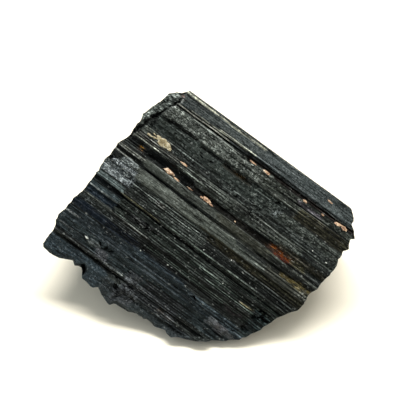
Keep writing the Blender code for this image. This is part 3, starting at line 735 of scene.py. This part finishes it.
def make_crystal():
    """The closed skin of the crystal, with its finish kept at its points."""
    front, back, front_finish = make_long_surfaces()
    points = []
    count = 0

    def add(block):
        nonlocal count
        flat = block.reshape(-1, 3)
        points.append(flat)
        numbers = np.arange(count, count + len(flat)).reshape(block.shape[:-1])
        count += len(flat)
        return numbers

    front_numbers = add(front)
    front_count = count
    back_numbers = add(back)
    upper = [add(row) for row in make_wall(front[0], back[0])]
    lower = [add(row) for row in make_wall(front[-1], back[-1])]
    ends_from = count - front_count
    quads = [grid_faces(front_numbers), grid_faces(back_numbers)]
    quads.append(grid_faces(np.array([front_numbers[0]] + upper + [back_numbers[0]])))
    quads.append(grid_faces(np.array([front_numbers[-1]] + lower + [back_numbers[-1]])))
    triangles = []
    for station, inward, seed in ((0, 1.0, LEFT_BREAK), (-1, -1.0, RIGHT_BREAK)):
        inner = make_wall(front[::2, station][1:-1], back[:, station][1:-1], inward, seed)
        rows = [np.concatenate(([above[station]], add(row), [below[station]]))
                for above, row, below in zip(upper, inner, lower)]
        triangles.append(halving_faces(front_numbers[:, station], rows[0]))
        quads.append(grid_faces(np.array(rows + [back_numbers[:, station]])))
    spots = np.concatenate(points)
    world = (spots * (1.0, -1.0, 1.0)) @ np.array(LIE).T + np.array(FACE_CORNER)
    faces = np.concatenate(quads).tolist() + np.concatenate(triangles).tolist()
    crystal = add_mesh("tourmaline_crystal", (world * MM).tolist(), faces)

    behind = spots[front_count:]
    end = (np.arange(len(behind)) >= ends_from).astype(float)
    colour, grain, gloss, even = (
        np.concatenate((near.reshape((front_count,) + near.shape[2:]), far))
        for near, far in zip(front_finish, finish_behind(*behind.T, end)))
    rgba = np.ones((count, 4))
    rgba[:, :3] = np.clip(colour, 0.0, 1.0)
    kept = crystal.data.attributes
    kept.new("mineral", "FLOAT_COLOR", "POINT").data.foreach_set("color", rgba.ravel())
    for name, values in (("grain", grain), ("gloss", gloss), ("even", even)):
        kept.new(name, "FLOAT", "POINT").data.foreach_set("value", values)
    return crystal


def add_node(tree, kind, links=None, values=None, **settings):
    """Add a node with its settings and socket values, linked from sockets or first outputs."""
    node = tree.nodes.new(kind)
    for name, value in settings.items():
        setattr(node, name, value)
    for socket, value in (values or {}).items():
        node.inputs[socket].default_value = value
    for socket, source in (links or {}).items():
        source = source.outputs[0] if isinstance(source, bpy.types.Node) else source
        tree.links.new(source, node.inputs[socket])
    return node


def new_material(name):
    """A material with this name, its shader, its links, and add_node for its tree."""
    material = bpy.data.materials.new(name)
    material.use_nodes = True
    tree = material.node_tree
    return material, tree.nodes["Principled BSDF"], tree.links, partial(add_node, tree)


def black_tourmaline():
    """Schorl: opaque black glass, dulled where its surface is crushed or granular."""
    material, shader, links, add = new_material("black_tourmaline")
    shader.inputs["IOR"].default_value = 1.63
    # Its weathered, finely pitted surface gives back an eighth of a polished one's glint.
    shader.inputs["Specular IOR Level"].default_value = 0.06
    shader.inputs["Specular Tint"].default_value = (0.94, 1.0, 0.98, 1.0)
    here = add("ShaderNodeTexCoord").outputs["Object"]
    # The same spot in the crystal's own frame, in mm.
    place = add("ShaderNodeMapping", {"Vector": here},
                {"Location": FACE_CORNER * MM, "Rotation": LIE.to_euler(), "Scale": (MM, MM, MM)},
                vector_type="TEXTURE")
    mineral = add("ShaderNodeAttribute", attribute_name="mineral").outputs["Color"]
    grain, gloss, even = (
        add("ShaderNodeAttribute", attribute_name=name).outputs["Fac"]
        for name in ("grain", "gloss", "even"))

    # Narrow grown facets, slivers of 0.35 mm by 17 mm. A few are painted bright as glints of the
    # light, and a few black as shade.
    long_cells = add("ShaderNodeMapping", {"Vector": place}, {"Scale": (0.06, 2.8, 1.8)})
    sliver = add("ShaderNodeTexVoronoi", {"Vector": long_cells}, {"Scale": 1.0})
    facet = add("ShaderNodeSeparateColor", {0: sliver.outputs["Color"]})
    glint_sliver = add("ShaderNodeMapRange", {"Value": facet.outputs[0]},
                      {"From Min": 0.72, "From Max": 1.0, "To Min": 0.65, "To Max": 4.2})
    shaded_sliver = add("ShaderNodeMapRange", {"Value": facet.outputs[1]},
                     {"From Min": 0.7, "From Max": 0.85, "To Min": 1.0, "To Max": 0.1})
    # Fine striations about 9 mm long. The real ones go down to 0.1 mm apart; these are
    # 0.4 mm apart, so that they show.
    drawn_out = add("ShaderNodeMapping", {"Vector": place}, {"Scale": (0.11, 2.6, 1.7)})
    threads = add("ShaderNodeTexNoise", {"Vector": drawn_out},
                  {"Scale": 1.0, "Detail": 2.0, "Roughness": 0.75})
    # Hairline splits about 1 mm apart, 30 mm long.
    far_drawn = add("ShaderNodeMapping", {"Vector": place}, {"Scale": (0.03, 0.9, 0.6)})
    layers = add("ShaderNodeTexNoise", {"Vector": far_drawn},
                 {"Scale": 1.0, "Detail": 2.0, "Roughness": 0.7})
    fold = add("ShaderNodeMath", {0: layers}, {1: 0.5}, operation="PINGPONG")
    split = add("ShaderNodeMapRange", {"Value": fold},
                {"From Min": 0.478, "From Max": 0.494, "To Max": 0.9})
    # Crushed crystal: angular chips, drawn out along the crystal, each with its own tone and its
    # own tilt; the few far brighter ones are painted glints. They are 0.3 mm across, the coarser
    # ones of the real grit.
    bend = add("ShaderNodeTexNoise", {"Vector": place},
               {"Scale": 1.1, "Detail": 3.0, "Roughness": 0.65})
    drawn_chips = add("ShaderNodeVectorMath", {0: place}, {1: (0.7, 1.0, 1.0)},
                      operation="MULTIPLY")
    shaken = add("ShaderNodeVectorMath", {0: bend.outputs["Color"], 2: drawn_chips},
                 {1: (1.2, 1.2, 1.2)}, operation="MULTIPLY_ADD")
    cells = add("ShaderNodeTexVoronoi", {"Vector": shaken}, {"Scale": 3.7})
    chip = add("ShaderNodeSeparateColor", {0: cells.outputs["Color"]})

    thread_tone = add("ShaderNodeMapRange", {"Value": threads},
                      {"From Min": 0.38, "From Max": 0.64, "To Min": 0.3, "To Max": 2.4})
    sliver_glint_and_shade = add("ShaderNodeMath", {0: glint_sliver, 1: shaded_sliver}, operation="MULTIPLY")
    lined = add("ShaderNodeMath", {0: thread_tone, 1: sliver_glint_and_shade}, operation="MULTIPLY")
    # Crushed crystal lies in clumps of about 1 mm.
    clump = add("ShaderNodeMapRange", {"Value": bend},
                {"From Min": 0.36, "From Max": 0.64, "To Min": 0.6, "To Max": 1.4})
    crumb = add("ShaderNodeMath", {0: chip.outputs[0]}, {1: 2.6}, operation="POWER")
    chip_tone_and_glint = add("ShaderNodeMapRange", {"Value": crumb}, {"To Min": 0.08, "To Max": 4.0})
    crushed = add("ShaderNodeMath", {0: clump, 1: chip_tone_and_glint}, operation="MULTIPLY")
    uneven = add("ShaderNodeMix", {0: grain, 2: lined, 3: crushed}, data_type="FLOAT")
    plain = add("ShaderNodeMix", {0: even, 2: uneven}, {3: 1.05}, data_type="FLOAT")
    # Fine dust dulls the smooth finish, and is left off where the crystal is crushed.
    dust = add("ShaderNodeMath", {0: chip.outputs[2]}, {1: 3.0}, operation="POWER")
    dust = add("ShaderNodeMapRange", {"Value": dust}, {"To Min": 0.6, "To Max": 2.35})
    dust = add("ShaderNodeMix", {0: grain, 2: dust}, {3: 1.0}, data_type="FLOAT")
    tone = add("ShaderNodeMath", {0: plain, 1: dust}, operation="MULTIPLY")
    # The hairline splits are painted dark, as the shade in the cracks.
    whole = add("ShaderNodeMath", {1: split}, {0: 1.0}, operation="SUBTRACT")
    tone = add("ShaderNodeMath", {0: tone, 1: whole}, operation="MULTIPLY")
    toned = add("ShaderNodeVectorMath", {0: mineral, "Scale": tone}, operation="SCALE")
    # What catches the light looks greyer than the black glass beside it.
    greyer = add("ShaderNodeMapRange", {"Value": tone},
                 {"From Min": 0.4, "From Max": 2.2, "To Min": 0.95, "To Max": 0.6})
    # Rust stains keep their colour.
    hue = add("ShaderNodeSeparateColor", {0: mineral})
    warmth = add("ShaderNodeMath", {0: hue.outputs[0], 1: hue.outputs[2]}, operation="SUBTRACT")
    rusty = add("ShaderNodeMapRange", {"Value": warmth}, {"From Min": 0.01, "From Max": 0.07})
    kept = add("ShaderNodeMath", {0: greyer, 1: rusty}, operation="MAXIMUM")
    toned = add("ShaderNodeHueSaturation", {"Color": toned, "Saturation": kept})
    # A few chips are painted pale, as glints from their flat cleaved faces.
    glint_chip = add("ShaderNodeMapRange", {"Value": chip.outputs[1]},
                 {"From Min": 0.975, "From Max": 1.0, "To Max": 0.8})
    how_many = add("ShaderNodeMapRange", {"Value": even}, {"To Min": 0.65, "To Max": 0.15})
    glint_speck = add("ShaderNodeMath", {0: glint_chip, 1: how_many}, operation="MULTIPLY")
    pale = add("ShaderNodeMix", {0: glint_speck, 6: toned}, {7: linear("#8b8f8a") + (1.0,)},
               data_type="RGBA")
    links.new(pale.outputs[2], shader.inputs["Base Color"])

    dull = add("ShaderNodeMapRange", {"Value": gloss}, {"To Min": 0.62, "To Max": 0.1})
    rough = add("ShaderNodeMath", {0: chip.outputs[2], 2: dull}, {1: 0.12},
                operation="MULTIPLY_ADD")
    links.new(rough.outputs[0], shader.inputs["Roughness"])

    # The striations and splits as fine relief, and the chips each tilted their own way.
    line_height = add("ShaderNodeMath", {0: threads, 1: split}, operation="SUBTRACT")
    bump = add("ShaderNodeBump", {"Height": line_height}, {"Strength": 0.8, "Distance": 0.3 * MM})
    lean = add("ShaderNodeVectorMath", {0: cells.outputs["Color"]}, {1: (0.5, 0.5, 0.5)},
               operation="SUBTRACT")
    how_far = add("ShaderNodeMapRange", {"Value": grain}, {"To Min": 0.1, "To Max": 0.9})
    tilt = add("ShaderNodeVectorMath", {0: lean, "Scale": how_far}, operation="SCALE")
    tilted = add("ShaderNodeVectorMath", {0: bump, 1: tilt}, operation="ADD")
    facing = add("ShaderNodeVectorMath", {0: tilted}, operation="NORMALIZE")
    links.new(facing.outputs[0], shader.inputs["Normal"])
    return material


crystal = make_crystal()
crystal.data.materials.append(black_tourmaline())
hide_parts("tourmaline")
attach(crystal, "root")


# ==== Grains and flakes of other minerals ====================================
# Granite minerals that grew against the crystal are still stuck in its grooves:
# salmon-pink feldspar, one pearly lens of mica with a golden heart, and pale flakes.

# Each as (along, across, length, width, height, turn in degrees).
FELDSPAR = (
    (23.1, 4.9, 1.9, 0.45, 0.2, 3.0), (27.2, 4.85, 2.4, 0.7, 0.35, 4.0),
    (39.4, 5.1, 1.3, 0.6, 0.3, 0.0), (44.9, 5.25, 0.9, 0.5, 0.25, 0.0),
    (49.4, 4.9, 2.0, 0.8, 0.3, -6.0), (51.2, 4.8, 2.1, 1.0, 0.35, 4.0),
    (7.6, 19.1, 3.8, 1.15, 0.45, 3.0), (10.2, 19.6, 1.9, 0.4, 0.3, 6.0),
    (14.3, 19.5, 2.0, 0.25, 0.2, 0.0), (19.2, 19.3, 2.5, 1.0, 0.4, 4.0),
    (17.9, 19.5, 1.3, 0.4, 0.3, 0.0), (20.9, 19.65, 1.2, 0.4, 0.3, 0.0),
    (28.2, 19.5, 0.6, 0.4, 0.25, 10.0), (44.5, 1.45, 1.7, 0.42, 0.12, 4.0),
    (9.4, 15.4, 2.3, 0.5, 0.2, 5.0),
)
LENS = (
    (2.3, 14.1, 4.6, 1.6, 0.28, 6.0), (0.5, 13.8, 1.5, 1.0, 0.25, 8.0),
    (1.7, 13.85, 2.2, 1.5, 0.32, 4.0), (3.0, 14.2, 2.5, 1.7, 0.35, 8.0),
    (4.1, 14.6, 1.5, 1.0, 0.25, 10.0), (1.9, 14.75, 2.6, 0.8, 0.22, 2.0),
    (-1.7, 14.6, 1.7, 0.5, 0.25, 4.0), (-0.4, 14.4, 1.5, 0.5, 0.25, -8.0),
    (-0.9, 13.7, 0.9, 0.35, 0.2, 10.0),
)
HEART = ((2.9, 14.25, 2.3, 0.85, 0.46, 8.0), (1.2, 13.9, 0.8, 0.4, 0.42, 0.0))
FLAKES = (
    (0.5, 44.6, 1.15, 0.5, 0.35, 4.0), (33.1, 27.8, 0.35, 0.3, 0.12, 20.0),
    (34.8, 33.8, 0.35, 0.3, 0.12, -20.0), (26.0, 29.8, 0.3, 0.3, 0.12, 40.0),
    (21.0, 38.2, 0.4, 0.3, 0.12, 0.0), (13.3, 39.3, 0.45, 0.3, 0.15, 15.0),
    (38.9, 1.1, 0.35, 0.3, 0.1, 0.0), (48.1, 14.0, 0.4, 0.3, 0.15, 10.0),
    (52.6, 14.4, 0.6, 0.28, 0.15, -10.0),
)
# Rings of a grain's dome: their share of its outline, and of its height.
RINGS = ((0.97, 0.45), (0.78, 0.8), (0.5, 0.95), (0.22, 1.0))
SUNK = 0.3                      # how far a grain goes into the crystal, mm
PROUD = 0.06                    # how far its dome stays above the crystal at least, mm


def to_world(along, across, out):
    """One spot of the crystal's own frame, in metres in the world."""
    return (FACE_CORNER + LIE @ Vector((along, -across, out))) * MM


def grown_surface(along, across):
    """How far out the finished widest side lies at any of its spots."""
    _, grain, _, _, rise = finish_of(along, across)
    return face_out(along, across, grain, rise) - crevice_drop(along, across)


def make_grains(name, rows, points, seed):
    """Broken angular grains, domed and set into the crystal, as one mesh."""
    corners, faces = [], []
    steps = np.arange(points)
    angle = 2.0 * math.pi * steps / points
    for number, (along, across, length, width, height, turn) in enumerate(rows):
        jag = 0.72 + 0.5 * random_at(steps, number, seed)
        x = 0.5 * length * np.cos(angle) * jag
        y = 0.5 * width * np.sin(angle) * jag
        cosine, sine = math.cos(math.radians(turn)), math.sin(math.radians(turn))
        edge = np.stack((x * cosine - y * sine, x * sine + y * cosine), axis=-1)
        ground = np.mean(grown_surface(along + 0.7 * edge[:, 0], across + 0.7 * edge[:, 1]))
        below = grown_surface(along + edge[:, 0], across + edge[:, 1])
        rings = [(edge + (along, across), np.minimum(below, ground) - SUNK)]
        for share, lift in RINGS:
            spot = edge * share + (along, across)
            rugged = 0.45 * chips(spot[:, 0], spot[:, 1], 0.6, seed + number)
            below = grown_surface(spot[:, 0], spot[:, 1])
            rings.append((spot, np.maximum(ground + height * (lift + rugged), below + PROUD)))
        start = len(corners)
        for spot, out in rings:
            corners += [to_world(a, c, o) for (a, c), o in zip(spot, out)]
        numbers = start + np.arange(len(rings) * points).reshape(len(rings), points)
        after = np.roll(numbers, -1, axis=1)
        sides = np.stack((numbers[:-1], after[:-1], after[1:], numbers[1:]), axis=-1)
        faces += sides.reshape(-1, 4).tolist()
        faces += [numbers[-1].tolist(), numbers[0][::-1].tolist()]
    grains = add_mesh(name, corners, faces)
    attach(grains, "root")
    return grains


def broken_mineral(name, colours, size, roughness, ior):
    """A pale mineral broken into chips of this size in mm, from its darkest to palest colour."""
    material, shader, links, add = new_material(name)
    shader.inputs["IOR"].default_value = ior
    shader.inputs["Roughness"].default_value = roughness
    here = add("ShaderNodeTexCoord").outputs["Object"]
    cells = add("ShaderNodeTexVoronoi", {"Vector": here}, {"Scale": 1.0 / (size * MM)})
    cloud = add("ShaderNodeTexNoise", {"Vector": here}, {"Scale": 0.5 / (size * MM), "Detail": 3.0})
    chip = add("ShaderNodeSeparateColor", {0: cells.outputs["Color"]})
    mixed = add("ShaderNodeMix", {2: chip, 3: cloud}, {0: 0.72}, data_type="FLOAT")
    ramp = add("ShaderNodeValToRGB", {0: mixed})
    stops = ramp.color_ramp.elements
    while len(stops) < len(colours):
        stops.new(0.5)
    for number, (stop, hex_colour) in enumerate(zip(stops, colours)):
        stop.position = 0.28 + 0.44 * number / (len(colours) - 1)
        stop.color = linear(hex_colour) + (1.0,)
    links.new(ramp.outputs[0], shader.inputs["Base Color"])
    bump = add("ShaderNodeBump", {"Height": mixed}, {"Strength": 0.6, "Distance": 0.1 * MM})
    links.new(bump.outputs[0], shader.inputs["Normal"])
    return material


# Cleaved and broken, salmon with cream edges, and waxy.
feldspar = make_grains("feldspar_grains", FELDSPAR, 12, 501.0)
feldspar.data.materials.append(broken_mineral(
    "broken_orthoclase", ("#6e5340", "#9c7a60", "#bd9f80", "#dccfb6"), 0.4, 0.45, 1.52))
# Split along its sheets, which gives it a soft cream sheen.
lens = make_grains("mica_lens", LENS, 15, 521.0)
lens.data.materials.append(broken_mineral(
    "pearly_muscovite", ("#6c5f40", "#8e8160", "#aba185", "#d8d2bc"), 0.6, 0.35, 1.58))
# The same, thicker and clear enough to look golden.
heart = make_grains("mica_heart", HEART, 11, 561.0)
heart.data.materials.append(broken_mineral(
    "golden_muscovite", ("#4a4024", "#75663c", "#8f7f54", "#b3a680"), 0.5, 0.3, 1.58))
# Cleaved flat, so that it glints white.
flakes = make_grains("pale_flakes", FLAKES, 9, 541.0)
flakes.data.materials.append(broken_mineral(
    "cleaved_albite", ("#8f958c", "#b9beb6", "#e4e6e0"), 0.3, 0.35, 1.53))


# ==== The table and the light ================================================
# A plain cream-white paper top under one long ceiling light behind the stone, which
# casts its soft shadow to the front. Two broad lights at the sides fill the shadow, and
# a cool window is in front to the left.

bpy.ops.mesh.primitive_plane_add(size=3.0, location=(0.0, 0.0, 0.0))
table_top = bpy.context.object
table_top.name = "table_top"
# Uncoated paper: matt, and a little warm.
paper, paper_shader, _, _ = new_material("white_paper")
paper_shader.inputs["Base Color"].default_value = linear("#f5eedc") + (1.0,)
paper_shader.inputs["Roughness"].default_value = 0.9
table_top.data.materials.append(paper)


# As (name, place, width, height, watts, colour), in metres; each looks at the stone.
LIGHTS = (
    ("ceiling_light", (0.07, 0.36, 0.85), 0.85, 0.28, 14.4, (1.0, 0.99, 0.97)),
    ("left_light", (-0.9, 0.1, 0.8), 0.9, 0.9, 2.6, (0.88, 0.96, 1.0)),
    ("right_light", (0.9, 0.1, 0.8), 0.9, 0.9, 4.5, (1.0, 0.97, 0.89)),
    ("window_light", (-0.8, -0.5, 0.5), 0.6, 0.6, 1.6, (0.82, 0.9, 1.0)),
)
for name, place, width, height, watts, colour in LIGHTS:
    glow = bpy.data.lights.new(name, "AREA")
    glow.shape = "RECTANGLE"
    glow.size = width
    glow.size_y = height
    glow.energy = watts
    glow.color = colour
    lamp = bpy.data.objects.new(name, glow)
    lamp.location = place
    lamp.rotation_euler = (-Vector(place)).to_track_quat("-Z", "Y").to_euler()
    bpy.context.scene.collection.objects.link(lamp)

world = bpy.data.worlds.new("room")
world.use_nodes = True
walls = world.node_tree.nodes["Background"]
walls.inputs["Color"].default_value = (0.97, 1.0, 0.98, 1.0)
walls.inputs["Strength"].default_value = 0.31
bpy.context.scene.world = world
bpy.context.scene.view_settings.view_transform = "Standard"


# ==== The camera =============================================================
# It looks square onto the widest side, from 0.38 m away, and takes in 100 mm.

CAMERA_DISTANCE = 0.38
FIELD_WIDTH = 0.100
SENSOR = 36.0
AIM = (17.9, 20.3, 1.0)         # what it looks at, as (along, across, out)
direction = LIE.col[2]
optics = bpy.data.cameras.new("camera")
optics.sensor_width = SENSOR
optics.lens = SENSOR * CAMERA_DISTANCE / FIELD_WIDTH
camera = bpy.data.objects.new("camera", optics)
camera.location = to_world(*AIM) + direction * CAMERA_DISTANCE
camera.rotation_euler = direction.to_track_quat("Z", "Y").to_euler()
bpy.context.scene.collection.objects.link(camera)
bpy.context.scene.camera = camera
